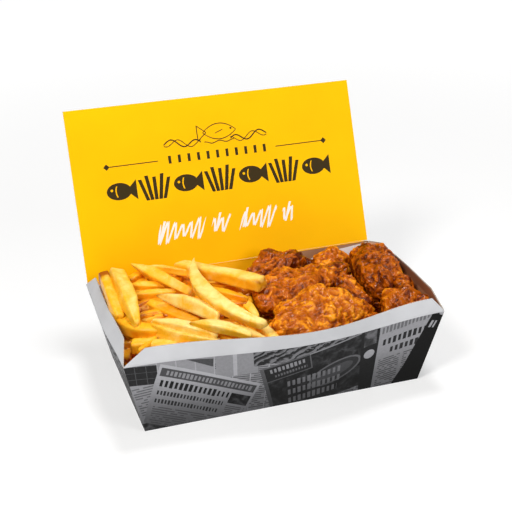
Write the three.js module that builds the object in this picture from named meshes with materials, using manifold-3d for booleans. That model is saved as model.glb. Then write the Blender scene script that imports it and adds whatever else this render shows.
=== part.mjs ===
// Fish and chips box: a printed board carton with a hinged lid, filled with chips and battered pieces.
// Millimetres, +Z up. Origin: centre of the underside. +X to the right, -Y to the front, +Y to the hinge.
import * as THREE from 'three';
import { mergeVertices } from 'three/addons/utils/BufferGeometryUtils.js';
import Module from 'manifold-3d';

const wasm = await Module();
wasm.setup();

// ---- driving dimensions ----
const BOARD = 0.8;                          // board thickness
const GAP = 0.35;                           // clearance between neighbouring pieces
const RIM = { x: 125, y: 73.7, z: 63.7 };   // half width, half depth and height of the top crease
const BASE = { x: 110.6, y: 60.6 };         // half width and half depth of the underside
const FRONT_BULGE = 9.4;                    // how far the filled front wall bows out at its crease
const FRONT_DROOP = 2.7;                    // how far that crease comes down as it bows
const END_BULGE = 2.2;                      // the same bow on the two end walls
const BULGE_SHIFT = 0.1;                    // the front bow peaks a little right of the middle
const FLAP_RISE = 9.8;                      // height of the front flap's corners over the crease
const LID = { halfWidth: 123.8, length: 140.5, lean: THREE.MathUtils.degToRad(20.9) };
const HINGE = { y: RIM.y - BOARD / 2, z: RIM.z + 0.6 };
const LID_OFFSET = 0.2;                     // the lid's lower edge, up from the hinge line
const FREE_TOP = 120;                       // top of the space that the food is trimmed to

// Flap corners. Each flap is a ruled strip from its crease to an edge between two chamfered ends.
const FRONT_FLAP = { from: -107.6, to: 116.5, y: 69.1, bow: 17, sag: 1.4, z: RIM.z + FLAP_RISE };
const LEFT_FLAP = { from: 64, to: -47, x: 118.6, z: RIM.z + 9 };
const RIGHT_FLAP = { from: 42, to: -54, x: 123.0, z: RIM.z + 11 };

const lerp = THREE.MathUtils.lerp;

// Bow of a panel along its length: none at the ends (u = -1 and 1), full near the middle.
function bow(u, shift = 0) {
  return Math.cos((Math.PI / 2) * (u - shift * (1 - u * u))) ** 2;
}

// ---- walls: a point at u along the side (-1..1) and v up it (0 base, 1 crease, 2 flap edge) ----
function frontWall(u, v, inset = 0) {
  const swell = bow(u, BULGE_SHIFT);
  const base = new THREE.Vector3(u * (BASE.x - inset), -(BASE.y - inset), 0);
  const crease = new THREE.Vector3(
    u * (RIM.x - inset), -(RIM.y - inset) - FRONT_BULGE * swell, RIM.z - FRONT_DROOP * swell);
  const edge = new THREE.Vector3(
    lerp(FRONT_FLAP.from, FRONT_FLAP.to, (u + 1) / 2),
    -(FRONT_FLAP.y - inset) - FRONT_FLAP.bow * swell, FRONT_FLAP.z - FRONT_FLAP.sag * swell);
  return v <= 1 ? base.lerp(crease, v) : crease.lerp(edge, v - 1);
}

function endWall(side, flap, u, v, inset = 0) {
  const swell = END_BULGE * bow(u);
  const base = new THREE.Vector3(side * (BASE.x - inset), -u * (BASE.y - inset), 0);
  const crease = new THREE.Vector3(side * (RIM.x - inset + swell), -u * (RIM.y - inset), RIM.z);
  const edge = new THREE.Vector3(
    side * (flap.x - inset + swell / 2), lerp(flap.from, flap.to, (u + 1) / 2), flap.z);
  return v <= 1 ? base.lerp(crease, v) : crease.lerp(edge, v - 1);
}

function leftWall(u, v, inset) {
  return endWall(-1, LEFT_FLAP, u, v, inset);
}

function rightWall(u, v, inset) {
  return endWall(1, RIGHT_FLAP, u, v, inset);
}

function backWall(u, v, inset = 0) {
  const base = new THREE.Vector3(-u * (BASE.x - inset), BASE.y - inset, 0);
  const crease = new THREE.Vector3(-u * (RIM.x - inset), RIM.y - inset, RIM.z);
  return base.lerp(crease, v);
}

// ---- closed meshes and booleans ----
// Shared corners are merged, and triangles that this leaves with no area are dropped.
function toManifold(geometry) {
  const bare = geometry.clone();
  for (const name of ['normal', 'uv']) bare.deleteAttribute(name);
  const merged = mergeVertices(bare, 1e-4);
  const corners = merged.index.array;
  const kept = [];
  for (let i = 0; i < corners.length; i += 3) {
    const [a, b, c] = corners.slice(i, i + 3);
    if (a !== b && b !== c && c !== a) kept.push(a, b, c);
  }
  return new wasm.Manifold(new wasm.Mesh({
    numProp: 3,
    vertProperties: new Float32Array(merged.attributes.position.array),
    triVerts: new Uint32Array(kept),
  }));
}

function toGeometry(solid) {
  const mesh = solid.getMesh();
  const geometry = new THREE.BufferGeometry();
  geometry.setAttribute('position', new THREE.BufferAttribute(new Float32Array(mesh.vertProperties), 3));
  geometry.setIndex(new THREE.BufferAttribute(new Uint32Array(mesh.triVerts), 1));
  geometry.computeVertexNormals();
  return geometry;
}

// Closed solid between rings of equal length, with a fan over each end.
function loft(rings) {
  const size = rings[0].length;
  const points = rings.flat();
  const faces = [];
  for (let r = 0; r + 1 < rings.length; r++) {
    for (let i = 0; i < size; i++) {
      const a = r * size + i;
      const b = r * size + ((i + 1) % size);
      faces.push(a, b, b + size, a, b + size, a + size);
    }
  }
  const last = (rings.length - 1) * size;
  for (const [start, flip] of [[0, true], [last, false]]) {
    const centre = new THREE.Vector3();
    for (let i = 0; i < size; i++) centre.addScaledVector(points[start + i], 1 / size);
    const c = points.push(centre) - 1;
    for (let i = 0; i < size; i++) {
      const j = start + ((i + 1) % size);
      faces.push(...(flip ? [c, j, start + i] : [c, start + i, j]));
    }
  }
  return solidFrom(points, faces);
}

// Solid from points and triangles, with the triangles turned round if they face inwards.
function solidFrom(points, faces) {
  const geometry = new THREE.BufferGeometry().setFromPoints(points);
  geometry.setIndex(faces);
  const solid = toManifold(geometry);
  if (solid.volume() > 0) return solid;
  geometry.setIndex([...faces].reverse());
  return toManifold(geometry);
}

// The largest body of a solid, without crumbs or sealed bubbles left by a cut.
function mainBody(solid) {
  return solid.decompose().reduce((best, body) => (body.volume() > best.volume() ? body : best));
}

// ---- tray ----
const TAB_SHIFT = 0.5;      // thickness of a glue tab, proud of the back wall's inner face
// Glue tab on the inside of the back wall, from an end corner: its top edge slopes down inwards.
function glueTab(side) {
  const outline = [[0.99, 0.985], [0.73, 0.905], [0.5, 0.78], [0.52, 0.15], [0.985, 0.06]];
  const ring = (inset) => outline.map(([u, v]) => backWall(-side * u, v, inset));
  return loft([ring(BOARD * 0.6), ring(BOARD + TAB_SHIFT)]);
}

// The four sides in order round the box, each with its number of steps and the way that u runs.
const SIDES = [[frontWall, 20, 1], [rightWall, 8, -1], [backWall, 2, 1], [leftWall, 8, 1]];

function stepsAlong(steps, turn) {
  return Array.from({ length: steps + 1 }, (_, i) => turn * (-1 + (2 * i) / steps));
}

// Points all round the box at one level: each side, then its corner, where two flaps' ends meet the
// crease. The back has no flap, so it stops at its crease.
function around(level, inset) {
  return SIDES.flatMap(([wall, steps, turn]) => {
    const top = wall === backWall ? Math.min(level, 1) : level;
    const side = stepsAlong(steps, turn).map((u) => wall(u, top, inset));
    return [...side, wall(turn, Math.min(level, 1), inset)];
  });
}

// One folded board: up the outside, over the edges, down the inside and across the floor.
function makeTray() {
  const rings = [
    around(0, 0), around(1, 0), around(2, 0),
    around(2, BOARD), around(1, BOARD), around(BOARD / RIM.z, BOARD),
  ];
  return loft(rings).add(glueTab(-1)).add(glueTab(1));
}

// The space that the contents may fill: inside the walls and flaps, clear of them, open upwards.
// Here the flaps run on to the corners, with no chamfers.
function makeCavity() {
  const clear = BOARD + TAB_SHIFT + GAP;
  const overFlaps = (z) => SIDES.flatMap(([wall, steps, turn]) => stepsAlong(steps, turn).map((u) => {
    const crease = wall(u, 1, clear);
    if (wall === backWall) return crease.setZ(z);
    const edge = wall(u, 2, clear);
    return wall === frontWall ? edge.setX(crease.x).setZ(z) : edge.setY(crease.y).setZ(z);
  }));
  const level = (v) => SIDES.flatMap(([wall, steps, turn]) => (
    stepsAlong(steps, turn).map((u) => wall(u, v, clear))));
  const low = level(0).map((p) => p.setZ(BOARD + GAP));
  return loft([low, level(1), overFlaps(FRONT_FLAP.z), overFlaps(FREE_TOP)]);
}

// ---- chips ----
// Each chip on top of the heap: both ends of its middle line, width, how full each end is, sideways bend.
const CHIPS = [
  [-114, 56, 78, -113, -8, 65, 11, 0.9, 0.6, 2],
  [-100, 52, 80, -104, -25, 71, 14, 0.8, 0.5, -3],
  [-114, 4, 65, -93, -34, 67, 11, 0.7, 0.6, -9],
  [-112, -40, 61, -72, -48, 60, 13, 0.9, 0.8, 0],
  [-120, -36, 56, -113, -60, 52, 10, 0.7, 0.8, 0],
  [-100, 20, 64, -86, -12, 66, 10, 0.7, 0.6, 2],
  [-90, 60, 81, -53, 10, 72, 12, 0.3, 0.8, 3],
  [-77, 58, 77, -42, 36, 72, 10, 0.4, 0.8, 0],
  [-60, 43, 78, 1, -7, 78, 14, 0.8, 0.9, 2],
  [-42, 41, 88, -40, -50, 77, 13, 0.25, 0.7, -3],
  [-43, -8, 76, -16, -72, 74, 13, 0.6, 0.5, -5],
  [-81, 6, 77, -44, -38, 74, 13, 0.35, 0.8, 3],
  [-92, 10, 73, -60, -34, 71, 12, 0.6, 0.7, -3],
  [-94, 50, 72, -62, 18, 70, 10, 0.6, 0.8, 0],
  [-88, 31, 71, -62, 4, 71, 10, 0.6, 0.7, 0],
  [-93, -25, 73, -50, -60, 69, 11, 0.5, 0.5, 3],
  [-92, -26, 69, -58, -64, 64, 12, 0.7, 0.6, -3],
  [-66, -38, 74, -26, -70, 70, 11, 0.35, 0.6, 3],
  [-60, -30, 68, -34, -62, 62, 10, 0.7, 0.8, 0],
  [-44, -44, 67, -14, -67, 62, 9, 0.7, 0.8, 0],
  [-50, 20, 72, -15, -15, 71, 11, 0.7, 0.7, 0],
  [-28, -2, 70, -12, -38, 66, 11, 0.8, 0.7, 2],
  [-56, 26, 70, -44, -8, 67, 10, 0.7, 0.8, 0],
  [-91, 62, 73, -66, 38, 70, 9, 0.6, 0.8, 0],
];
const CHIP_STEPS = 4;
const CHIP_SIDES = 8;

// A chip: a rounded square section carried along a slightly bent line, drawn in towards both ends.
function chip([ax, ay, az, bx, by, bz, width, startFull, endFull, bend], grow) {
  const start = new THREE.Vector3(ax, ay, az);
  const end = new THREE.Vector3(bx, by, bz);
  const along = end.clone().sub(start).normalize();
  const across = new THREE.Vector3(-along.y, along.x, 0).normalize();
  const up = new THREE.Vector3().crossVectors(along, across);
  start.addScaledVector(along, -grow);
  end.addScaledVector(along, grow);
  const rings = [];
  for (let i = 0; i <= CHIP_STEPS; i++) {
    const s = i / CHIP_STEPS;
    const full = Math.min(1, lerp(startFull, 1, s * 3), lerp(endFull, 1, (1 - s) * 3));
    const reach = (width / 2) * full + grow;
    const centre = start.clone().lerp(end, s).addScaledVector(across, bend * 4 * s * (1 - s));
    const ring = [];
    for (let k = 0; k < CHIP_SIDES; k++) {
      const angle = (2 * Math.PI * (k + 0.5)) / CHIP_SIDES;
      const side = Math.sign(Math.cos(angle)) * Math.abs(Math.cos(angle)) ** 0.6;
      const rise = Math.sign(Math.sin(angle)) * Math.abs(Math.sin(angle)) ** 0.6;
      ring.push(centre.clone()
        .addScaledVector(across, reach * side)
        .addScaledVector(up, reach * 0.85 * rise));
    }
    rings.push(ring);
  }
  return loft(rings);
}

// Height of the packed chips below the top ones: heaped on the left, a lower bed on the right.
const HEAP = { left: 62, dome: 9, right: 43, stepFrom: -14, stepTo: 18, ripple: 1.6 };
function heapHeight(x, y) {
  const fall = THREE.MathUtils.smoothstep(x, HEAP.stepFrom, HEAP.stepTo);
  const dome = HEAP.dome * Math.exp(-(((x + 62) / 48) ** 2 + ((y - 16) / 44) ** 2));
  const ripple = HEAP.ripple * Math.sin(x * 0.31 + y * 0.12) * Math.cos(y * 0.27 - x * 0.08);
  return lerp(HEAP.left + dome, HEAP.right, fall) + ripple;
}

function heapBed(grow) {
  const columns = 18;
  const rows = 10;
  const reach = { x: RIM.x + 8, y: RIM.y + 16 };
  const points = [];
  const faces = [];
  for (const top of [0, 1]) {
    for (let j = 0; j <= rows; j++) {
      for (let i = 0; i <= columns; i++) {
        const x = lerp(-reach.x, reach.x, i / columns);
        const y = lerp(-reach.y, reach.y, j / rows);
        points.push(new THREE.Vector3(x, y, top ? heapHeight(x, y) + grow : -grow));
      }
    }
  }
  const index = (i, j, top) => (top * (rows + 1) + j) * (columns + 1) + i;
  const quad = (a, b, c, d) => faces.push(a, b, c, a, c, d);
  for (let j = 0; j < rows; j++) {
    for (let i = 0; i < columns; i++) {
      quad(index(i, j, 1), index(i + 1, j, 1), index(i + 1, j + 1, 1), index(i, j + 1, 1));
      quad(index(i, j, 0), index(i, j + 1, 0), index(i + 1, j + 1, 0), index(i + 1, j, 0));
    }
  }
  for (let i = 0; i < columns; i++) {
    quad(index(i, 0, 0), index(i + 1, 0, 0), index(i + 1, 0, 1), index(i, 0, 1));
    quad(index(i + 1, rows, 0), index(i, rows, 0), index(i, rows, 1), index(i + 1, rows, 1));
  }
  for (let j = 0; j < rows; j++) {
    quad(index(0, j + 1, 0), index(0, j, 0), index(0, j, 1), index(0, j + 1, 1));
    quad(index(columns, j, 0), index(columns, j + 1, 0), index(columns, j + 1, 1), index(columns, j, 1));
  }
  return solidFrom(points, faces);
}

// The whole heap of chips as one solid. With grow above zero it is the same heap with that much clearance.
function makeHeap(grow = 0) {
  return CHIPS.reduce((heap, row) => heap.add(chip(row, grow)), heapBed(grow));
}

// ---- battered pieces ----
// Middle, half sizes, turn about Z in degrees, tilt about X in degrees, and a number that varies the lumps.
const PIECES = {
  battered_piece_front: [[34, -42, 57], [45, 28, 21], 8, 6, 1.3],
  battered_piece_right: [[102, 9, 61], [22, 39, 21], -6, 0, 2.9],
  battered_piece_front_right: [[106, -41, 55], [18, 22, 18], 0, 8, 4.1],
  battered_piece_back_left: [[33, 50, 62], [24, 19, 18], 14, 0, 5.6],
  battered_piece_back_middle: [[80, 51, 57], [21, 18, 17], -10, 0, 7.2],
  battered_piece_middle: [[35, 7, 59], [39, 25, 20], 14, 0, 8.8],
  battered_piece_shaded: [[79, -6, 58], [18, 33, 17], 6, -4, 10.4],
  battered_piece_small: [[57, 55, 56], [11, 13, 15], 0, 0, 11.7],
};
const PIECE_DETAIL = 4;

// A craggy lump: an egg shape whose radius swells and dips by a few crossing waves.
function lump([middle, half, turn, tilt, seed], grow) {
  const geometry = new THREE.IcosahedronGeometry(1, PIECE_DETAIL);
  const place = geometry.attributes.position;
  const p = new THREE.Vector3();
  for (let i = 0; i < place.count; i++) {
    p.fromBufferAttribute(place, i).normalize();
    const swell = 1
      + 0.07 * Math.sin(3.1 * p.x + seed) * Math.cos(2.7 * p.y - seed)
      + 0.05 * Math.sin(5.3 * p.y + 1.7 * seed + 2 * p.z)
      + 0.035 * Math.cos(7.9 * p.x - 2.3 * seed + 3 * p.z);
    p.multiplyScalar(swell);
    place.setXYZ(i, p.x * (half[0] + grow), p.y * (half[1] + grow), p.z * (half[2] + grow));
  }
  geometry.rotateX(THREE.MathUtils.degToRad(tilt));
  geometry.rotateZ(THREE.MathUtils.degToRad(turn));
  geometry.translate(...middle);
  return toManifold(geometry);
}

// The pieces lie on the chips and against each other: each is trimmed by what was laid before it.
function makePieces(cavity) {
  const made = {};
  let taken = makeHeap(GAP);
  for (const [name, row] of Object.entries(PIECES)) {
    made[name] = mainBody(lump(row, 0).intersect(cavity).subtract(taken));
    taken = taken.add(lump(row, GAP * 1.6));
  }
  return made;
}

// ---- looks ----
const WHITE_BOARD = new THREE.MeshStandardMaterial({ color: 0xd8dade, roughness: 0.6, metalness: 0 });
const YELLOW_BOARD = new THREE.MeshStandardMaterial({ color: 0xffc400, roughness: 0.5, metalness: 0 });
const POTATO = new THREE.MeshStandardMaterial({ color: 0xf0c04a, roughness: 0.55, metalness: 0 });
const BATTER = new THREE.MeshStandardMaterial({ color: 0xa8541c, roughness: 0.45, metalness: 0 });

function node(name, geometry, material) {
  const mesh = new THREE.Mesh(geometry, material.clone());
  mesh.name = name;
  return mesh;
}

// ---- scene graph ----
const box = new THREE.Group();
const cavity = makeCavity();
box.add(node('tray', toGeometry(makeTray()), WHITE_BOARD));
box.add(node('chips_heap', toGeometry(mainBody(makeHeap().intersect(cavity))), POTATO));
for (const [name, solid] of Object.entries(makePieces(cavity))) {
  box.add(node(name, toGeometry(solid), BATTER));
}

const lidGeometry = new THREE.BoxGeometry(2 * LID.halfWidth, BOARD, LID.length);
const lid = node('lid', lidGeometry.translate(0, 0, LID_OFFSET + LID.length / 2), YELLOW_BOARD);
lid.position.set(0, HINGE.y, HINGE.z);
lid.rotation.x = -LID.lean;
box.add(lid);

export default box;
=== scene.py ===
import math

import bmesh
import bpy
import numpy as np
from bpy.props import FloatProperty, FloatVectorProperty, IntProperty, PointerProperty
from mathutils import Matrix, Vector


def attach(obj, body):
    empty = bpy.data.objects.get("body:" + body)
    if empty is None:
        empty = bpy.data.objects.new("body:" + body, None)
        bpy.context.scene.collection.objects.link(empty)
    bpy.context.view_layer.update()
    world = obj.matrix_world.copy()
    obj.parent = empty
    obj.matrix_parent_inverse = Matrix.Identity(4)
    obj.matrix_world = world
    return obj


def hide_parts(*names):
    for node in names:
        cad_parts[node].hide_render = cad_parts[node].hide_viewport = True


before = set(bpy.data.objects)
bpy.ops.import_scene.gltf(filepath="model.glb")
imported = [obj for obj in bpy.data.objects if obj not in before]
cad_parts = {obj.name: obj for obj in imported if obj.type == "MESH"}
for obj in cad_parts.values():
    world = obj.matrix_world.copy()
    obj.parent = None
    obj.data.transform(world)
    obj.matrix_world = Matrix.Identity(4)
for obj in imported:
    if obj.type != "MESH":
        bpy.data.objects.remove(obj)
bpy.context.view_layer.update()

bl_info = {
    "name": "Fish and chips box",
    "version": (1, 0, 0),
    "blender": (4, 5, 0),
    "location": "3D View > Sidebar > Food box",
    "description": "A printed takeaway box with a hinged lid, filled with chips and battered pieces",
    "category": "Add Mesh",
}

MM = 0.001

# ---------------------------------------------------------------- box shape, in millimetres
RIM = (125.0, 73.7, 63.7)            # half width, half depth and height of the top crease
BASE = (110.6, 60.6)                 # half width and half depth of the underside
FRONT_BULGE, FRONT_DROOP, END_BULGE, BULGE_SHIFT = 9.4, 2.7, 2.2, 0.1
FLAP_RISE = 9.8                      # from the front crease to its flap's edge
FRONT_FLAP = {"from": -107.6, "to": 116.5, "y": 69.1, "bow": 17.0, "sag": 1.4, "z": RIM[2] + FLAP_RISE}
LEFT_FLAP = {"from": 64.0, "to": -47.0, "x": 118.6, "z": RIM[2] + 9.0}
RIGHT_FLAP = {"from": 42.0, "to": -54.0, "x": 123.0, "z": RIM[2] + 11.0}
HINGE = (RIM[1] - 0.4, RIM[2] + 0.6)  # the lid's pivot line, y and z
WALL_SOFT, FLAP_SOFT = 0.02, 0.1      # how far each side of a crease its round reaches

# ---------------------------------------------------------------- food, in millimetres
# Each top chip: middle, length in plan, heading in degrees from the right, rise from start to end, width, how
# full each end is, sideways and upward bend, how browned each end is and how deep its yellow is.
TOP_CHIPS = [
    [-114, 19, 75, 62, -90, -10, 10.5, 0.95, 0.75, -1, 3, 4.0, 0.2, 0.5],
    [-104, 9, 77, 74, -90, -11, 14.5, 0.85, 0.35, 0, 4, 0.1, 0.3, 0.3],
    [-96, -16, 66, 54, -45, -1, 12.5, 0.8, 0.9, -11, -1, 0.5, 0.2, 0.7],
    [-92, -45, 60, 42, -20, -1, 12, 0.95, 0.9, 0, 0, 0.2, 0.1, 0.5],
    [-114, -32, 53, 28, -100, -2, 8.5, 0.8, 0.8, 0, 0, 1, 1, 1],
    [-92, -7, 66, 13, -10, -1, 6.5, 0.8, 0.5, 0, 0, 0.8, 0.8, 0.9],
    [-72, 30, 79, 63, -55, -10, 10, 0.1, 0.75, -1, 1, 0.2, 0.1, 0.5],
    [-63, 47, 78, 35, -30, -3, 7, 0.15, 0.9, 0, 0, 0.2, 0.1, 0.3],
    [-26, 20, 78, 78, -47, 1, 13, 0.95, 0.95, 0, 1, 0.5, 0.6, 0.2],
    [-30, -16, 82, 105, -76, -16, 12.5, 0.1, 0.65, -19, 3, 0.2, 0.5, 0.1],
    [-73, -8, 66, 55, -55, -3, 10.5, 0.75, 0.7, -1, 1, 0.5, 0.2, 0.6],
    [-64, -22, 77, 59, -52, -4, 12, 0.1, 0.7, 3, 1, 1, 0.1, -0.15],
    [-49, -60, 73, 47, -32, -6, 9.5, 0.2, 0.6, 1.5, 1, 0.9, 0.4, 0.15],
    [-72, -43, 70, 52, -38, -5, 9, 0.35, 0.5, -1, 2, 0.2, 0.3, -0.15],
    [-72, -44, 65, 57, -40, -4, 11.5, 0.85, 0.7, -5, 0, 0.2, 0.1, 0.15],
    [-82, 28, 75, 32, -15, -2, 8, 0.6, 0.6, 0, 0, 0.3, 0.2, 0.7],
    [-80, 16, 73, 33, -10, 0, 8, 0.6, 0.6, 0, 0, 0.5, 0.2, 0.6],
    [-88, 45, 76, 21, 30, 1, 8, 0.8, 0.6, 0, 0, 0.8, 0.5, 1],
    [-28, 2, 70, 40, -45, -2, 9, 0.8, 0.6, 0, 0, 0.4, 0.7, 0.8],
    [-22, -10, 66, 18, -15, 0, 7, 0.8, 0.7, 0, 0, 1, 1, 1],
    [-14, -13, 64, 42, -85, -1, 8, 0.8, 0.5, 0, 0, 0.3, 0.3, 0.4],
    [-44, -56, 64, 30, -55, -3, 9, 0.6, 0.6, 0, 0, 0.3, 0.5, 0.7],
    [-26, -51, 60, 34, -60, -3, 9.5, 0.8, 0.9, 0, 0, 0.1, 0.2, 0],
    [-12, -50, 60, 34, -80, -2, 9, 0.8, 0.9, 0, 0, 0.1, 0.1, 0.1],
    [-45, 2, 66, 59, -75, -2, 9, 0.8, 0.8, 0, 0, 0.8, 0.8, 1],
    [-98, 42, 71, 37, -10, 2, 10, 0.8, 0.8, 0, 0, 0.5, 0.5, 1],
    [-100, 27, 69, 36, -10, 2, 11, 0.8, 0.7, 0, 0, 0.6, 0.3, 1],
    [-102, 11, 66, 30, -10, 1, 10, 0.7, 0.8, 2, 0, 0.4, 0.5, 0.9],
    [-104, 27, 67, 51, -80, -2, 10, 0.8, 0.6, 0, 0, 0.7, 0.4, 0.9],
    [-79, 47, 71, 37, -20, 2, 10, 0.8, 0.6, 1, 0, 0.3, 0.4, 0.8],
]
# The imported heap: its height at the left and the right, where it steps down, and the height, middle and
# spread of the dome on it and of the gully beside the battered pieces.
HEAP = {"left": 62, "right": 43, "from": -14, "to": 18, "dome": 9, "gully": 10}
DOME_AT, GULLY_AT = (-62, 16, 48, 44), (-4, -20, 11, 26)
BED_X, HEAP_X, FILL_Y = (8, 112), (-116, 2), (-66, 62)    # where the lower chips lie
BED_TENTHS = 3                       # how many of every ten lower chips go into the bed at the right
CORE_DROP = 11.0                     # how far the solid middle lies below the heap's surface
CRUMBS = 26
PIECE_STEPS, KNOB_STEPS = (44, 100), 36    # grid steps across one side of a lump
# Battered pieces: middle, half sizes, turn about Z and tilt about X in degrees, number that varies the
# lumps, and how golden the crust is (0 dark, 1 light).
PIECES = {
    "battered_piece_front": ((34, -42, 57), (45, 28, 21), 8, 6, 1.3, 0.80),
    "battered_piece_right": ((105, 9, 62), (18, 40, 22), -7, 0, 2.9, 0.30),
    "battered_piece_front_right": ((106, -42, 55), (17, 22, 18), 0, 8, 4.1, 0.46),
    "battered_piece_back_left": ((33, 48, 61), (25, 18, 18), 14, 0, 5.6, 0.26),
    "battered_piece_back_middle": ((79, 50, 54), (22, 18, 17), -10, 0, 7.2, 0.72),
    "battered_piece_middle": ((35, 7, 58), (39, 26, 20), 14, 0, 8.8, 0.55),
    "battered_piece_shaded": ((71, -3, 55), (14, 38, 17), 5, -3, 10.4, 0.42),
    "battered_piece_small": ((57, 55, 55), (10, 13, 14), 0, 0, 11.7, 0.12),
}
# Knobs that stick out of some pieces: piece, middle, half sizes, tone.
KNOBS = [
    ("battered_piece_right", (112, -26, 66), (8, 10, 9), 0.30),
    ("battered_piece_right", (104, 36, 68), (10, 10, 10), 0.20),
    ("battered_piece_right", (112, 24, 69), (9, 14, 11), 0.05),
    ("battered_piece_front_right", (97, -42, 62), (10, 12, 10), 0.60),
    ("battered_piece_front_right", (114, -50, 60), (8, 10, 9), 0.10),
    ("battered_piece_front", (67, -47, 60), (9, 8, 8), 0.55),
    ("battered_piece_front", (74, -55, 57), (8, 7, 7), 0.45),
    ("battered_piece_front", (50, -38, 70), (15, 12, 9), 0.95),
    ("battered_piece_middle", (46, 18, 66), (12, 10, 8), 0.70),
    ("battered_piece_middle", (6, -4, 62), (13, 15, 11), 0.50),
    ("battered_piece_back_left", (12, 41, 62), (10, 9, 8), 0.35),
    ("battered_piece_back_left", (46, 47, 68), (10, 9, 8), 0.70),
    ("battered_piece_shaded", (75, 25, 63), (11, 10, 9), 0.15),
]


# ================================================================ settings
def colour(name, description, default):
    return FloatVectorProperty(
        name=name, description=description, default=default, size=3, subtype="COLOR", min=0, max=1)


class FISHBOX_PG_settings(bpy.types.PropertyGroup):
    """Sizes and colours of the box and its food."""
    board: FloatProperty(
        name="Board", description="Thickness of the board", default=0.0006, min=0.0003, max=0.0008,
        unit="LENGTH", precision=4)
    lid_half_width: FloatProperty(
        name="Lid half width", description="Half the width of the lid", default=0.1238, unit="LENGTH")
    lid_length: FloatProperty(
        name="Lid length", description="From the hinge to the free edge", default=0.1405, unit="LENGTH")
    lid_lean: FloatProperty(
        name="Lid lean", description="How far the open lid leans back", default=math.radians(20.9),
        subtype="ANGLE")
    lid_colour: colour("Lid print", "Yellow of the lid's inside", (1.0, 0.53, 0.0))
    ink_colour: colour("Ink", "Dark ink of the lid's print", (0.045, 0.030, 0.010))
    potato_pale: colour("Potato, pale", "Lightest faces of the chips", (0.99, 0.75, 0.24))
    potato_mid: colour("Potato, yellow", "Most faces of the chips", (0.97, 0.50, 0.012))
    potato_deep: colour("Potato, deep", "Deeper yellow of the chips", (0.84, 0.27, 0.0))
    potato_brown: colour("Potato, browned", "Fried tips and edges", (0.36, 0.07, 0.0))
    crust_light: colour("Crust, light", "High flakes of the batter", (1.0, 0.36, 0.010))
    crust_mid: colour("Crust, middle", "Most of the batter", (0.50, 0.105, 0.0))
    crust_dark: colour("Crust, dark", "Pits and folds of the batter", (0.11, 0.012, 0.0))
    under_chips: IntProperty(
        name="Chips below", description="Chips that fill the heap under the top ones", default=190,
        min=0, max=240)
    seed: IntProperty(name="Seed", description="Varies the scattered chips", default=7, min=0)


# ================================================================ numpy shapes
def mix(a, b, t):
    return a + (b - a) * t


def smooth_step(x, low, high):
    """0 below low, 1 above high, and 3t^2 - 2t^3 between."""
    t = np.clip((x - low) / (high - low), 0, 1)
    return t * t * (3 - 2 * t)


def bow(u, shift=0.0):
    """Bow of a panel along its length: cos^2 of a quarter turn each way, its peak moved by shift."""
    return np.cos(np.pi / 2 * (u - shift * (1 - u * u))) ** 2


def fold(base, crease, edge, v):
    """A board strip from base (v = 0) over a crease (v = 1) to an edge (v = 2). It is straight on both
    sides, and next to the crease it follows a parabola whose control point is the crease."""
    v = v[..., None]
    wall = mix(base, crease, np.clip(v, 0, 1))
    flap = mix(crease, edge, np.clip(v - 1, 0, 1))
    low, high = mix(base, crease, 1 - WALL_SOFT), mix(crease, edge, FLAP_SOFT)
    t = np.clip((v - 1 + WALL_SOFT) / (WALL_SOFT + FLAP_SOFT), 0, 1)
    bend = (1 - t) ** 2 * low + 2 * t * (1 - t) * crease + t ** 2 * high
    straight = np.where(v <= 1, wall, flap)
    return np.where((t > 0) & (t < 1), bend, straight)


def stack(x, y, z):
    return np.stack(np.broadcast_arrays(x, y, z), axis=-1).astype(float)


def front_wall(u, v, inset=0.0):
    """Front wall and flap: u from the left end to the right, v as in fold. Crease and flap edge bow out."""
    swell = bow(u, BULGE_SHIFT)
    base = stack(u * (BASE[0] - inset), -(BASE[1] - inset), 0)
    crease = stack(
        u * (RIM[0] - inset), -(RIM[1] - inset) - FRONT_BULGE * swell, RIM[2] - FRONT_DROOP * swell)
    edge = stack(
        mix(FRONT_FLAP["from"], FRONT_FLAP["to"], (u + 1) / 2),
        -(FRONT_FLAP["y"] - inset) - FRONT_FLAP["bow"] * swell,
        FRONT_FLAP["z"] - FRONT_FLAP["sag"] * swell)
    return fold(base, crease, edge, v)


def end_wall(side, flap, u, v, inset=0.0):
    """End wall and flap: u from the back to the front."""
    swell = END_BULGE * bow(u)
    base = stack(side * (BASE[0] - inset), -u * (BASE[1] - inset), 0)
    crease = stack(side * (RIM[0] - inset + swell), -u * (RIM[1] - inset), RIM[2])
    edge = stack(
        side * (flap["x"] - inset + swell / 2), mix(flap["from"], flap["to"], (u + 1) / 2), flap["z"])
    return fold(base, crease, edge, v)


def left_wall(u, v, inset=0.0):
    return end_wall(-1, LEFT_FLAP, u, v, inset)


def right_wall(u, v, inset=0.0):
    return end_wall(1, RIGHT_FLAP, u, v, inset)


def back_wall(u, v, inset=0.0):
    """Back wall: flat, u from left to right, no flap above its crease."""
    base = stack(u * (BASE[0] - inset), BASE[1] - inset, 0)
    crease = stack(u * (RIM[0] - inset), RIM[1] - inset, RIM[2])
    return mix(base, crease, v[..., None])


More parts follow.
